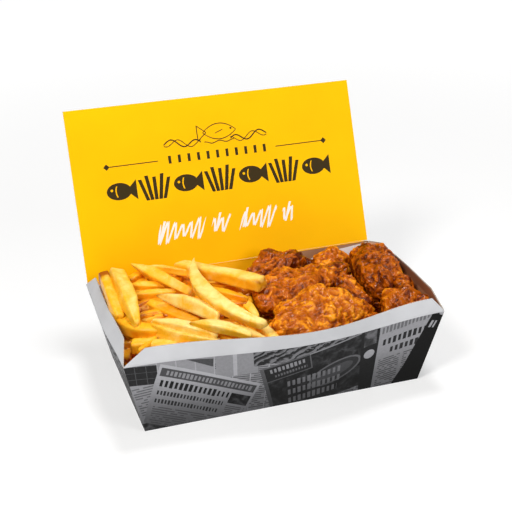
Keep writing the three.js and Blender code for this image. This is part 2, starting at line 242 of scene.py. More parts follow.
class Perlin:
    """Smooth 3-D noise: random slopes on a cubic lattice, blended with the curve 6t^5 - 15t^4 + 10t^3."""

    def __init__(self, seed):
        rng = np.random.RandomState(seed)
        self.order = np.tile(rng.permutation(256), 3)
        slopes = rng.normal(size=(256, 3))
        self.slopes = slopes / np.linalg.norm(slopes, axis=1, keepdims=True)

    def __call__(self, points, scale):
        p = points / scale
        cell = np.floor(p).astype(int)
        f = p - cell
        cell &= 255
        w = f ** 3 * (f * (f * 6 - 15) + 10)
        total = np.zeros(len(p))
        for corner in np.ndindex(2, 2, 2):
            c = np.array(corner)
            x, y, z = (cell + c).T
            slope = self.slopes[self.order[self.order[self.order[x] + y] + z]]
            weight = np.prod(np.where(c, w, 1 - w), axis=1)
            total += weight * np.sum(slope * (f - c), axis=1)
        return total * 1.6


# Picks the first and last row, and the first and last column, of a grid.
RIM_LINES = ((0, slice(None)), (-1, slice(None)), (slice(None), 0), (slice(None), -1))


def grid_quads(rows, columns):
    """Corner numbers of the quads of a grid of points, row by row."""
    i = np.arange(rows - 1)[:, None] * columns + np.arange(columns - 1)[None, :]
    return np.stack([i, i + 1, i + columns + 1, i + columns], axis=-1).reshape(-1, 4)


class Skin:
    """Collects grids of points into one closed mesh, with a UV map in metres, a finish for each face and
    any point attributes. Points in millimetres that fall together are made one."""

    def __init__(self):
        self.points, self.quads, self.uvs, self.finishes = [], [], [], []
        self.extra = {}
        self.count = 0

    def grid(self, points, uv=None, finish=0, **attributes):
        rows, columns = points.shape[:2]
        flat = points.reshape(-1, 3)
        quads = grid_quads(rows, columns)
        self.points.append(flat)
        self.quads.append(quads + self.count)
        uv = flat[:, :2] if uv is None else np.asarray(uv, float).reshape(-1, 2)
        self.uvs.append(uv)
        self.finishes.append(np.full(len(quads), finish))
        for name, value in attributes.items():
            values = np.broadcast_to(np.asarray(value, float), (rows, columns)).reshape(-1)
            self.extra.setdefault(name, []).append(values)
        self.count += len(flat)
        return self

    def build(self, name, materials, sharp=None):
        points = np.concatenate(self.points)
        quads = np.concatenate(self.quads)
        uvs = np.concatenate(self.uvs)[quads.reshape(-1)] * MM
        finishes = np.concatenate(self.finishes)
        _, first, joined = np.unique(
            np.round(points, 3), axis=0, return_index=True, return_inverse=True)
        joined = joined.reshape(-1)
        faces = joined[quads]
        following = np.roll(faces, -1, axis=1)
        keep = faces != following
        sides = keep.sum(axis=1)
        whole = sides >= 3
        keep &= whole[:, None]
        loops = faces[keep]
        sides = sides[whole]
        mesh = bpy.data.meshes.new(name)
        mesh.vertices.add(len(first))
        mesh.vertices.foreach_set("co", (points[first] * MM).astype(np.float32).reshape(-1))
        mesh.loops.add(len(loops))
        mesh.loops.foreach_set("vertex_index", loops.astype(np.int32))
        mesh.polygons.add(len(sides))
        starts = np.concatenate([[0], np.cumsum(sides)[:-1]]).astype(np.int32)
        mesh.polygons.foreach_set("loop_start", starts)
        mesh.polygons.foreach_set("material_index", finishes[whole].astype(np.int32))
        layer = mesh.uv_layers.new(name="UVMap")
        layer.data.foreach_set("uv", uvs[keep.reshape(-1)].astype(np.float32).reshape(-1))
        for key, parts in self.extra.items():
            values = np.concatenate(parts)[first].astype(np.float32)
            mesh.attributes.new(key, "FLOAT", "POINT").data.foreach_set("value", values)
        mesh.update(calc_edges=True)
        mesh.validate()
        return finished(name, mesh, materials, sharp)


def finished(name, mesh, materials, sharp=None):
    """Links the mesh as an object, with its faces turned outwards, smooth shading and its materials."""
    work = bmesh.new()
    work.from_mesh(mesh)
    bmesh.ops.recalc_face_normals(work, faces=work.faces)
    work.to_mesh(mesh)
    work.free()
    for material in materials:
        mesh.materials.append(material)
    mesh.shade_smooth()
    if sharp:
        mesh.set_sharp_from_angle(angle=math.radians(sharp))
    obj = bpy.data.objects.new(name, mesh)
    bpy.context.scene.collection.objects.link(obj)
    return obj


def place(obj, body, slot, *nodes):
    """Sets the body that a piece rides on and hides the CAD nodes that it replaces. The colour slot is not
    used.
    """
    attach(obj, body)
    if nodes:
        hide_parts(*nodes)
    return obj


# ================================================================ shader maths
class Value:
    """A number in a node tree. Python's operators add the Math nodes."""

    def __init__(self, maker, socket):
        self.maker, self.socket = maker, socket

    def _do(self, operation, *others):
        return self.maker.math(operation, self, *others)

    def __add__(self, other):
        return self._do("ADD", other)

    __radd__ = __add__

    def __mul__(self, other):
        return self._do("MULTIPLY", other)

    __rmul__ = __mul__

    def __sub__(self, other):
        return self._do("SUBTRACT", other)

    def __rsub__(self, other):
        return self.maker.math("SUBTRACT", other, self)

    def __truediv__(self, other):
        return self._do("DIVIDE", other)

    def __pow__(self, other):
        return self._do("POWER", other)

    def __gt__(self, other):
        return self._do("GREATER_THAN", other)

    def __lt__(self, other):
        return self._do("LESS_THAN", other)

    def __or__(self, other):
        return self._do("MAXIMUM", other)

    def __abs__(self):
        return self._do("ABSOLUTE")

    def near(self, middle, half):
        """1 within half of middle, else 0."""
        return self._do("COMPARE", middle, half)

    def within(self, low, high):
        return self.near((low + high) / 2, (high - low) / 2)

    def fraction(self):
        return self._do("FRACT")

    def floor(self):
        return self._do("FLOOR")

    def sine(self):
        return self._do("SINE")

    def ramp(self, low, high):
        """0 at low, 1 at high, smooth between."""
        return self.maker.node("ShaderNodeMapRange", {"interpolation_type": "SMOOTHSTEP"}, {
            "Value": self, "From Min": low, "From Max": high})


class Maker:
    """Makes one material: its nodes come from node(), and numbers from Value expressions."""

    def __init__(self, name):
        self.material = bpy.data.materials.new(name)
        self.material.use_nodes = True
        self.tree = self.material.node_tree
        self.tree.nodes.clear()
        self.shader = self.tree.nodes.new("ShaderNodeBsdfPrincipled")
        output = self.tree.nodes.new("ShaderNodeOutputMaterial")
        self.tree.links.new(self.shader.outputs["BSDF"], output.inputs["Surface"])

    def fill(self, socket, value):
        if isinstance(value, Value):
            self.tree.links.new(value.socket, socket)
        elif isinstance(value, bpy.types.NodeSocket):
            self.tree.links.new(value, socket)
        elif hasattr(value, "__len__") and len(value) == 3 and socket.type == "RGBA":
            socket.default_value = (*value, 1)
        else:
            socket.default_value = value

    def node(self, kind, settings=None, inputs=None, out=0):
        made = self.tree.nodes.new(kind)
        for key, value in (settings or {}).items():
            setattr(made, key, value)
        for key, value in (inputs or {}).items():
            self.fill(made.inputs[key], value)
        return Value(self, made.outputs[out])

    def math(self, operation, *values):
        return self.node("ShaderNodeMath", {"operation": operation}, dict(enumerate(values)))

    def blend(self, factor, a, b):
        """A number between a and b."""
        return self.node("ShaderNodeMix", {"data_type": "FLOAT"}, {0: factor, 2: a, 3: b})

    def mix(self, factor, a, b):
        """A colour between a and b."""
        return self.node("ShaderNodeMix", {"data_type": "RGBA"}, {0: factor, 6: a, 7: b}, out=2)

    def uv(self):
        """The piece's UV map as two numbers, in millimetres."""
        return self.split(self.node("ShaderNodeUVMap", {"uv_map": "UVMap"}))[:2]

    def place(self):
        """Object coordinates, in metres, as a vector and as three numbers in millimetres."""
        vector = self.node("ShaderNodeTexCoord", out="Object")
        return vector, self.split(vector)

    def split(self, vector):
        """The three parts of a vector in metres, as numbers in millimetres."""
        made = self.node("ShaderNodeSeparateXYZ", None, {0: vector})
        return [Value(self, part) / MM for part in made.socket.node.outputs]

    def noise(self, vector, size_mm, detail=3.0, roughness=0.5, distortion=0.0):
        return self.node("ShaderNodeTexNoise", None, {
            "Vector": vector, "Scale": 1 / (size_mm * MM), "Detail": detail,
            "Roughness": roughness, "Distortion": distortion})

    def cells(self, vector, size_mm):
        """Distance to the nearest of a scatter of points."""
        return self.node("ShaderNodeTexVoronoi", None, {"Vector": vector, "Scale": 1 / (size_mm * MM)})

    def hash(self, x, y):
        """A random number from 0 to 1 for each pair of whole numbers."""
        vector = self.node("ShaderNodeCombineXYZ", None, {0: x, 1: y})
        return self.node("ShaderNodeTexWhiteNoise", {"noise_dimensions": "2D"}, {"Vector": vector})

    def attribute(self, name):
        return self.node("ShaderNodeAttribute", {"attribute_name": name}, out="Fac")

    def bump(self, height, strength, distance_mm):
        return self.node("ShaderNodeBump", None, {
            "Strength": strength, "Distance": distance_mm * MM, "Height": height})

    def finish(self, **sockets):
        for key, value in sockets.items():
            self.fill(self.shader.inputs[key.replace("_", " ")], value)
        return self.material


# ================================================================ print of the board
class Page:
    """A turned rectangle of print: local p runs right and q down from its top left corner, in millimetres."""

    def __init__(self, maker, x, s, left, top, turn):
        c, d = math.cos(math.radians(turn)), math.sin(math.radians(turn))
        dx, dy = x - left, s - top
        self.maker = maker
        self.p = dx * c + dy * d
        self.q = dx * d - dy * c

    def area(self, left, right, top, bottom):
        return self.p.within(left, right) * self.q.within(top, bottom)

    def text(self, left, right, top, bottom, pitch, word, weight=0.5, gaps=0.25):
        """Rows of dashes that stand for lines of small type, with random gaps between the words."""
        row = (self.q - top) / pitch
        column = self.p / word
        line = row.fraction().near(0.5, weight / 2)
        shown = self.maker.hash(column.floor(), row.floor()) > gaps
        return self.area(left, right, top, bottom) * line * shown

    def heading(self, left, right, top, bottom, pitch):
        """A band of upright strokes of uneven width and height, as dense as large type."""
        cell = (self.p - left) / pitch
        spread = self.maker.hash(cell.floor(), 3.0)
        stroke = cell.fraction().near(0.45, spread * 0.16 + 0.2)
        cut = (self.q - top).near((bottom - top) / 2, (bottom - top) * (0.34 + 0.16 * spread))
        return self.area(left, right, top, bottom) * stroke * cut

    def ellipse(self, p, q, half_p, half_q):
        a, b = (self.p - p) / half_p, (self.q - q) / half_q
        return a * a + b * b < 1


def newsprint_tone(m, x, s):
    """Grey of a collage of news pages on the wall: x along it and s up it, in millimetres. Pages, pictures,
    columns and headings are plain shapes with no readable type. The whole is darker towards the foot of the
    wall: painted shade."""
    paint = m.blend
    spot = m.node("ShaderNodeCombineXYZ", None, {0: x * MM, 1: s * MM})
    grain = m.noise(spot, 2.2, 4.0, 0.65)
    mottle = m.noise(spot, 9.0, 3.0, 0.6, 0.6)

    back = Page(m, x, s, -60, 64, -3)
    tone = paint(back.text(0, 300, 2, 60, 2.2, 2.6), 0.58, 0.36)
    tone = paint(((back.p / 14.0).fraction() < 0.06) * 1.0, tone, 0.66)

    lower = Page(m, x, s, -125, 26, -4)
    tone = paint(lower.area(0, 70, 0, 40), tone, mottle.ramp(0.3, 0.7) * 0.3 + 0.18)
    side = Page(m, x, s, -125, 48, 4)
    tone = paint(side.area(-4, 26, 0, 40), tone, 0.60)
    tone = paint(side.text(0, 22, 4, 40, 2.4, 3.0), tone, 0.42)

    tiles = Page(m, x, s, -126, 66, -6)
    tone = paint(tiles.area(0, 24.5, 0, 18.5), tone, 0.17)
    seams = ((tiles.p / 8.2).fraction() < 0.07) | ((tiles.q / 6.2).fraction() < 0.08)
    tone = paint(tiles.area(0, 24.5, 0, 18.5) * seams, tone, 0.30)

    columns = Page(m, x, s, -60, 66, 0)
    tone = paint(columns.area(1, 33, 0, 24), tone, 0.56)
    tone = paint(columns.area(14, 17, 0, 24), tone, 0.68)
    wedge = Page(m, x, s, -80, 64.5, -6)
    tone = paint(wedge.area(0, 20, 0, 8) * ((wedge.p * 0.42 - wedge.q) > 0), tone, 0.30)

    scene_top = Page(m, x, s, -31, 66, 3)
    streaks = ((scene_top.p * 0.5 + scene_top.q + mottle * 14) / 6.0).fraction()
    tone = paint(scene_top.area(0, 100, 0, 17), tone, streaks.ramp(0.35, 0.75) * 0.32 + 0.16)

    # first page
    page = Page(m, x, s, -98.6, 63.7, -24.6)
    tone = paint(page.area(0, 82, 0, 60), tone, 0.70 - (page.q / 60.0) * 0.22)
    tone = paint(page.area(2.0, 80, 3.0, 11.2), tone, 0.30)
    tone = paint(page.heading(6, 77, 4.6, 9.8, 3.1), tone, 0.56)
    tone = paint(page.heading(3.5, 61, 14.2, 22.0, 3.9), tone, 0.12)
    tone = paint(page.heading(3.5, 59, 25.0, 30.0, 2.7), tone, 0.20)
    tone = paint(page.heading(3.5, 57, 33.4, 38.2, 2.7), tone, 0.22)
    tone = paint(page.text(4, 60, 41, 60, 2.3, 2.8), tone, 0.40)
    tone = paint(page.area(62.5, 80, 15, 26), tone, mottle.ramp(0.35, 0.65) * 0.24 + 0.08)
    tone = paint(page.text(62.5, 80, 28, 60, 2.0, 2.2), tone, 0.42)

    # second page, with its large picture
    page = Page(m, x, s, -25.9, 44.4, 14.3)
    tone = paint(page.area(0, 92, 0, 60), tone, 0.36)
    tone = paint(page.area(3.2, 40, 1.6, 16.4), tone, 0.16)
    tone = paint(page.heading(7, 37, 3.4, 8.6, 3.3), tone, 0.56)
    tone = paint(page.heading(10, 37, 11.0, 14.0, 2.4), tone, 0.42)
    picture = page.area(3.2, 90, 17.4, 60) | page.area(41, 90, 1.6, 60)
    tone = paint(picture, tone, mottle.ramp(0.35, 0.8) * 0.2 + 0.1)
    shape = Page(m, x, s, 39, 28, 25)
    tone = paint(shape.ellipse(0, 0, 23, 11.5), tone, 0.40)
    tone = paint(shape.ellipse(0, 0, 21, 9.8), tone, 0.21)
    tail = shape.p.within(-20, -11) * (abs(shape.q) < (-8.5 - shape.p) * 0.62)
    tone = paint(shape.ellipse(1, 0, 15, 6.0) | tail, tone, 0.31)
    words = Page(m, x, s, -3, 29, 9)
    for top, right in ((2.0, 46), (12.0, 46), (22.0, 44)):
        tone = paint(words.heading(0, right, top, top + 7.4, 4.3), tone, 0.50)
    frame_line = page.area(89.2, 90.4, 0, 60) | page.area(40.2, 90.4, 0.2, 1.4)
    tone = paint(frame_line, tone, 0.55)

    # dark strip with a disc
    strip = Page(m, x, s, 53, 70, 11.4)
    tone = paint(strip.area(0, 15.5, 0, 80), tone, 0.13)
    tone = paint(strip.area(2.4, 13.0, 2, 24), tone, mottle.ramp(0.3, 0.7) * 0.25 + 0.18)
    tone = paint(strip.ellipse(7.5, 33.5, 4.6, 4.6), tone, 0.66)

    # light page at the right, and the dark band across the corner
    page = Page(m, x, s, 70, 67, 8)
    tone = paint(page.area(0, 60, 0, 80), tone, 0.60)
    tone = paint(page.heading(1.5, 50, 3.5, 11.5, 3.2), tone, 0.42)
    tone = paint(page.heading(3.5, 42, 17.0, 24.6, 4.4), tone, 0.16)
    tone = paint(page.heading(11, 42, 27.6, 34.2, 4.4), tone, 0.18)
    tone = paint(page.text(3, 22, 38, 80, 2.2, 2.4), tone, 0.38)
    tone = paint(page.text(25, 44, 38, 80, 2.2, 2.4), tone, 0.38)
    band = Page(m, x, s, 116, 70, -12)
    tone = paint(band.area(0, 60, -10, 80) * (x > 99) | (x - s * 0.36 > 98.5), tone, 0.05)
    mark = band.area(3.0, 5.2, 10.5, 17.0) | band.area(6.6, 8.2, 10.5, 17.0)
    tone = paint(mark | band.ellipse(9, 3.2, 3.0, 2.0), tone, 0.62)
    # Painted shade: the tone is multiplied by 0.60 at the foot of the wall, rising to 0.94 at 52 mm up.
    return (tone + (grain - 0.5) * 0.12) * (s.ramp(0.0, 52.0) * 0.34 + 0.60)


def newsprint_material():
    """Outside of the board: the news collage, repeated every wall's length, under a thin satin varnish."""
    m = Maker("newsprint_board")
    u, v = m.uv()
    x = ((u + 126.0) / 252.0).fraction() * 252.0 - 126.0
    s = (v / 66.0).fraction() * 66.0
    tone = newsprint_tone(m, x, s) | 0.02
    shade = tone ** 2.2
    tint = m.node("ShaderNodeCombineColor", None, {0: shade * 0.97, 1: shade * 0.97, 2: shade * 1.03})
    vector, _ = m.place()
    fibre = m.noise(vector, 0.9, 3.0)
    return m.finish(
        Base_Color=tint, Roughness=fibre * 0.12 + 0.5, Normal=m.bump(fibre, 0.1, 0.05),
        Specular_IOR_Level=0.12)


def white_board_material(name="white_lined_board", painted_light_gain=1.0):
    """Clay-coated inside of the board and its flaps, with grease spots. The inner faces at the right end are
    painted warm brown, pale at the back and dark towards the front: painted shade and light reflected from
    the crust near the food.
    """
    m = Maker(name)
    vector, (x, y, _) = m.place()
    fibre = m.noise(vector, 1.1, 3.0)
    cloud = m.noise(vector, 30.0, 3.0, 0.55)
    # A gain above 1 paints extra light into the board's white.
    low, high = 0.50 * painted_light_gain, 0.56 * painted_light_gain
    shade = m.mix(cloud.ramp(0.3, 0.75), (low, low * 1.01, low * 1.05), (high, high * 1.01, high * 1.05))
    # Painted shade and bounce light: the inner faces past x = 108 mm turn from pale brown at the back to dark
    # brown at the front.
    inner_end = (x > 108.0) * m.attribute("inside")
    painted_shade_ramp = inner_end * ((y - 75.0) * -0.012).ramp(0.0, 1.0)
    painted_bounce_brown = m.mix(painted_shade_ramp, (0.92, 0.60, 0.40), (0.40, 0.15, 0.055))
    shade = m.mix(inner_end * 0.94, shade, painted_bounce_brown)
    spots = m.cells(vector, 5.0).ramp(0.16, 0.10) * (m.noise(vector, 14.0, 2.0) > 0.6)
    shade = m.mix(spots * m.attribute("inside") * 0.35, shade, (0.55, 0.35, 0.16))
    return m.finish(
        Base_Color=shade, Roughness=fibre * 0.15 + 0.5, Normal=m.bump(fibre, 0.12, 0.05),
        Specular_IOR_Level=0.35)


def edge_material():
    """Cut edges: grey-brown middle plies of the board."""
    m = Maker("cut_board_edge")
    vector, _ = m.place()
    ply = m.noise(vector, 0.4, 2.0)
    shade = m.mix(ply.ramp(0.3, 0.7), (0.36, 0.29, 0.22), (0.62, 0.56, 0.48))
    return m.finish(Base_Color=shade, Roughness=0.85, Normal=m.bump(ply, 0.3, 0.1))


def yellow_material(settings, printed):
    """Yellow print with satin varnish. The lid's inside also has an emblem, rules, a row of small blocks, a
    heading of plain dark shapes and white brush waves, all symbols without lettering."""
    m = Maker("yellow_print_lid" if printed else "yellow_print_wall")
    vector, _ = m.place()
    fibre = m.noise(vector, 1.1, 3.0)
    cloud = m.noise(vector, 60.0, 2.0, 0.5)
    yellow = tuple(settings.lid_colour)
    deep = (yellow[0] * 0.98, yellow[1] * 0.93, yellow[2])
    shade = m.mix(cloud.ramp(0.3, 0.7), yellow, deep)
    if printed:
        x, t = m.uv()
        dark, white = lid_print(m, x, t)
        shade = m.mix(dark, shade, tuple(settings.ink_colour))
        shade = m.mix(white, shade, (0.93, 0.91, 0.86))
    return m.finish(
        Base_Color=shade, Roughness=fibre * 0.12 + 0.5, Normal=m.bump(fibre, 0.1, 0.05),
        Specular_IOR_Level=0.06)


def stroke(t, line, slope, width):
    """1 where t is within half the width of a curve, measured square to it."""
    return abs(t - line) < (slope * slope + 1.0) ** 0.5 * (width / 2)


# Lean and top of the five bars that stand for a handful of chips in the lid's heading.
CHIP_FAN = ((-0.30, 7.4), (-0.15, 10.2), (0.0, 8.6), (0.16, 10.6), (0.3, 7.0))


def lid_print(m, x, t):
    """Masks of the lid's dark and white print, x across and t up from the hinge, in millimetres."""
    sheet = Page(m, x, t, 0, 0, 0)
    a = abs(x)

    # heading: solid fish, and fans of bars for chips, each 26 mm wide and up to 21 mm high
    dark = x * 0.0
    high = t - 70.5
    for number in range(7):
        at = x - (number - 3) * 28.4
        if number % 2:
            for bar, (lean, top) in enumerate(CHIP_FAN):
                edge = at - (bar - 2) * 3.6 - (high + 10.0) * lean
                dark = dark | ((abs(edge) < 1.5) * high.within(-10.4, top))
        else:
            body = (at + 2.0) * (at + 2.0) / 108.0 + high * high / 50.0 < 1
            tail = at.within(6.0, 13.0) * (abs(high) < (at - 4.2) * 0.95)
            eye = (at + 8.0) * (at + 8.0) + (high - 1.4) * (high - 1.4) < 1.2
            gill = abs((at + 4.6) - high * high * 0.05) < 0.5
            dark = dark | ((body | tail) * (1 - eye) * (1 - gill * (abs(high) < 4.6)))

    # small row of blocks, and the rules on both sides of it
    block = (x + 45.6) / 8.3
    dark = dark | (x.within(-45.6, 45.7) * t.within(88.0, 94.6) * block.fraction().near(0.5, 0.15))
    rule = a.within(51.5, 92.5) * t.near(91.3, 0.4)
    dark = dark | rule | ((abs(a - 95.0) / 2.6 + abs(t - 91.3) / 2.6) < 1)

    # waves on both sides of the emblem
    phase = (a - 12.0) * 0.30
    for start, width in ((0.0, 1.1), (1.7, 0.7)):
        line = (phase + start).sine() * 2.9 + a * 0.10 + 100.6
        slope = (phase + start + math.pi / 2).sine() * 0.87 + 0.10
        dark = dark | (a.within(13, 45) * stroke(t, line, slope, width))

    # fish in outline: a body between two parabolas, a tail, a fin and an eye
    fx = x - 4.0
    half = 6.6 - fx * fx * 0.031
    dark = dark | (fx.within(-14.6, 14.6) * (abs(abs(t - 110.0) - half) < 0.42))
    tail = (-11.5 - fx) * 0.82
    dark = dark | (fx.within(-19.5, -11.5) * (abs(abs(t - 110.0) - tail) < 0.45))
    dark = dark | (fx.near(-19.3, 0.4) * (abs(t - 110.0) < 6.6))
    dark = dark | (fx.within(-4, 3) * (abs(t - 110.0 - fx * 0.35) < 0.38))
    dark = dark | sheet.ellipse(14.2, -111.4, 0.9, 0.9)
    dark = dark | (x.within(-10, 16) * stroke(t, ((x * 0.5).sine() * 0.8) + 101.4, 0.0, 0.8))

    # white brush waves, slanted, in four runs
    sx = x - (t - 33.0) * 0.38
    swing = (sx * 0.21).sine() * 1.6 + 5.2
    turn = sx * 0.92
    line = turn.sine() * swing + sx * 0.02 + 32.2
    slope = (turn + math.pi / 2).sine() * swing * 0.92
    runs = sx.within(-59, -20) | sx.within(-13, 2) | sx.within(13, 43) | sx.within(49, 60)
    white = runs * stroke(t, line, slope, 2.1)
    for middle, low, high in ((-56.0, 25, 41), (-8.0, 27, 42), (16.0, 27, 43), (54.0, 27, 43)):
        white = white | (sx.near(middle, 0.95) * t.within(low, high))
    return dark, white


# ================================================================ board pieces
def box_heights():
    """Steps up a wall and its flap, closer together round the crease."""
    wall = np.linspace(0, 1 - WALL_SOFT, 12)
    bend = np.linspace(1 - WALL_SOFT, 1 + FLAP_SOFT, 7)[1:-1]
    return np.concatenate([wall, bend, np.linspace(1 + FLAP_SOFT, 2, 6)])


def slant(wall, u, v):
    """Distance up the board from its base, in millimetres, for every column."""
    points = wall(u, v)
    steps = np.linalg.norm(np.diff(points, axis=0), axis=-1)
    return np.concatenate([np.zeros((1, points.shape[1])), np.cumsum(steps, axis=0)])


OUTSIDE, INSIDE, EDGE, YELLOW = 0, 1, 2, 3


def make_tray(settings):
    """Four walls, three flaps and a floor, each a grid outside and a copy of it one board further in. Strips
    close the cut edges. The outside is print up to the crease and white above it."""
    board = settings.board / MM
    skin = Skin()
    heights = box_heights()
    columns, rows = 56, 24
    sides = (
        (front_wall, columns, 2 * RIM[0], 0.0), (right_wall, rows, -2 * RIM[1], 60.0),
        (back_wall, columns, -2 * RIM[0], 40.0), (left_wall, rows, 2 * RIM[1], -40.0))
    for wall, steps, length, shift in sides:
        u = np.linspace(-1, 1, steps + 1)
        levels = np.append(heights[heights < 1], 1.0) if wall is back_wall else heights
        uu, vv = np.meshgrid(u, levels)
        outer, inner = wall(uu, vv), wall(uu, vv, board)
        inner = np.concatenate([floor_line(wall, u, board), inner[1:]])
        up = slant(wall, uu, vv)
        flat = np.stack([uu * length / 2 + shift, up], axis=-1)
        crease = np.searchsorted(levels, 1.0 - WALL_SOFT / 2)
        lower, upper = slice(0, crease + 1), slice(crease, None)
        skin.grid(outer[lower], flat[lower], OUTSIDE, inside=0)
        finish = YELLOW if wall is back_wall else INSIDE
        if wall is not back_wall:
            skin.grid(outer[upper], flat[upper], INSIDE, inside=0)
            for end in (0, -1):
                strip = np.stack([outer[:, end], inner[:, end]], axis=1)
                skin.grid(strip[levels >= 1 - WALL_SOFT], finish=EDGE, inside=0)
        else:
            skin.grid(outer[upper], flat[upper], OUTSIDE, inside=0)
        skin.grid(np.stack([outer[-1], inner[-1]]), finish=EDGE, inside=0)
        skin.grid(inner, flat, finish, inside=1)
    for half, z, finish in ((BASE, 0.0, INSIDE), ((BASE[0] - board, BASE[1] - board), board, INSIDE)):
        x, y = np.meshgrid(np.linspace(-1, 1, columns + 1), np.linspace(-1, 1, rows + 1))
        skin.grid(stack(x * half[0], y * half[1], z), finish=finish, inside=float(z > 0))
    materials = [newsprint_material(), white_board_material(), edge_material(),
                 back_inside_material(settings)]
    return place(skin.build("tray_board", materials, sharp=28), "tray", "printed_board", "tray")


def floor_line(wall, u, board):
    """The inner foot of a wall, one board above the underside."""
    foot = wall(u[None, :], np.zeros((1, len(u))), board)
    foot[..., 2] = board
    return foot


def back_inside_material(settings):
    """Inside of the back wall: the lid's yellow runs down it on the left and stops before the glue flap.
    Right of it the white board is painted dark brown: painted shade under the lid, warmed by light bounced
    from the crust.
    """
    m = Maker("back_wall_inside")
    vector, (x, _, _) = m.place()
    fibre = m.noise(vector, 1.1, 3.0)
    edge = (x + (fibre - 0.5) * 0.6) > 59.0
    # Painted shade: right of x = 59 mm the white board is painted dark brown.
    shade = m.mix(edge, tuple(settings.lid_colour), (0.40, 0.22, 0.12))
    return m.finish(
        Base_Color=shade, Roughness=fibre * 0.12 + 0.45, Normal=m.bump(fibre, 0.1, 0.05),
        Specular_IOR_Level=0.35)


GLUE_TAB = ((0.985, 0.985), (0.64, 0.93), (0.44, 0.80), (0.50, 0.15), (0.98, 0.06))
TAB_LIFT = 0.45


def make_glue_tabs(settings):
    """The end walls' glue flaps, flat on the inside of the back wall: a five-sided sheet of board each, a fan
    of rings between its outline and its middle, bent a little off the wall along its free edge."""
    board = settings.board / MM
    skin = Skin()
    outline = np.array(GLUE_TAB + GLUE_TAB[:1])
    middle = outline[:-1].mean(axis=0)
    rings = np.linspace(0, 1, 7)[:, None, None]
    dense = np.concatenate([
        mix(outline[i], outline[i + 1], np.linspace(0, 1, 9)[:-1, None]) for i in range(5)] + [outline[:1]])
    plan = mix(middle, dense[None], rings)
    for side in (-1, 1):
        layers = []
        for inset in (board + 0.02, board + TAB_LIFT):
            lift = 0.5 * smooth_step(0.8 - plan[..., 0], 0.0, 0.3)
            layer = back_wall(side * plan[..., 0], plan[..., 1], 0.0)
            layer[..., 1] -= inset + lift
            layers.append(layer)
        for layer in layers:
            skin.grid(layer, finish=0, inside=0)
        skin.grid(np.stack([layers[0][-1], layers[1][-1]]), finish=1, inside=0)
    # Painted light: the glue tabs use a copy of the white board 1.6 times as light, where the lid shades
    # them.
    materials = [white_board_material("glue_tab_board", 1.6), bpy.data.materials["cut_board_edge"]]
    tabs = skin.build("glue_tabs", materials, sharp=40)
    return place(tabs, "tray", "printed_board")


def make_lid(settings):
    """The lid, a flat sheet of board that leans back from the hinge: yellow inside, news collage outside. It
    is drawn a hair wavy, as thin board is, and it starts at the round of the hinge fold."""
    board = settings.board / MM
    half, length, lean = settings.lid_half_width / MM, settings.lid_length / MM, settings.lid_lean
    up = np.array([0.0, math.sin(lean), math.cos(lean)])
    back = np.array([0.0, math.cos(lean), -math.sin(lean)])
    u, t = np.meshgrid(np.linspace(-1, 1, 49), np.linspace(0, 1, 31))
    wave = 0.35 * np.sin(2.2 * u + 0.6) * t + 0.5 * t * (1 - u * u)
    start = np.array([0.0, *HINGE]) + up * 0.36
    middle = start + (u * half)[..., None] * [1, 0, 0] + (t * length)[..., None] * up
    middle = middle + (wave * 0.5)[..., None] * back
    inside, outside = middle - back * board / 2, middle + back * board / 2
    skin = Skin()
    flat = np.stack([u * half, t * length], axis=-1)
    skin.grid(inside, flat, 0)
    skin.grid(outside, flat * [-1, 1], 1)
    for line in RIM_LINES:
        skin.grid(np.stack([inside[line], outside[line]]), finish=2)
    materials = [yellow_material(settings, True), newsprint_material(), edge_material()]
    return place(skin.build("lid_board", materials, sharp=40), "lid", "yellow_board", "lid")


def make_hinge_fold(settings):
    """The scored fold between back wall and lid: a round bead of board along the pivot line, yellow on the
    inside half and news collage on the outside half."""
    radius = settings.board / MM * 0.62
    skin = Skin()
    for finish, first in ((0, np.pi / 2), (1, -np.pi / 2)):
        x, angle = np.meshgrid(np.linspace(-1, 1, 41), first + np.linspace(0, np.pi, 7))
        end = np.sqrt(np.clip(1 - np.abs(x) ** 60, 0, 1))
        points = stack(
            x * settings.lid_half_width / MM, HINGE[0] + radius * end * np.cos(angle),
            HINGE[1] - 0.25 + radius * 1.35 * end * np.sin(angle))
        skin.grid(points, finish=finish)
    bead = skin.build("hinge_fold", [yellow_material(settings, False), bpy.data.materials["newsprint_board"]])
    return place(bead, "tray", "yellow_board")


# ================================================================ chips
def keep_inside(points, margin):
    """Moves points sideways to stay inside the walls and flaps by the margin."""
    x, y, z = points[..., 0], points[..., 1], points[..., 2]
    up = np.clip(z / RIM[2], 0, 1)
    over = np.clip((z - RIM[2]) / FLAP_RISE, 0, 1)
    swell = bow(np.clip(x / RIM[0], -1, 1), BULGE_SHIFT)
    end = END_BULGE * bow(np.clip(y / RIM[1], -1, 1))
    half = mix(BASE[0], RIM[0] + end, up)
    left = mix(half, LEFT_FLAP["x"] + end / 2, over) - margin
    right = mix(half, RIGHT_FLAP["x"] + end / 2, over) - margin
    front = mix(BASE[1], RIM[1] + FRONT_BULGE * swell, up)
    front = mix(front, FRONT_FLAP["y"] + FRONT_FLAP["bow"] * swell, over) - margin
    back = mix(BASE[1], RIM[1], up) - margin - 0.6
    return stack(np.clip(x, -left, right), np.clip(y, -front, back), z)


def hill(x, y, middle_x, middle_y, spread_x, spread_y):
    """A smooth hill of height 1: e to minus the squared distance from its middle, in spreads."""
    return np.exp(-(((x - middle_x) / spread_x) ** 2 + ((y - middle_y) / spread_y) ** 2))


def heap_height(x, y):
    """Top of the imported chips: a dome on the left that steps down to a bed on the right, past a gully."""
    fall = smooth_step(x, HEAP["from"], HEAP["to"])
    dome, gully = HEAP["dome"] * hill(x, y, *DOME_AT), HEAP["gully"] * hill(x, y, *GULLY_AT)
    return mix(HEAP["left"] + dome, HEAP["right"], fall) - gully


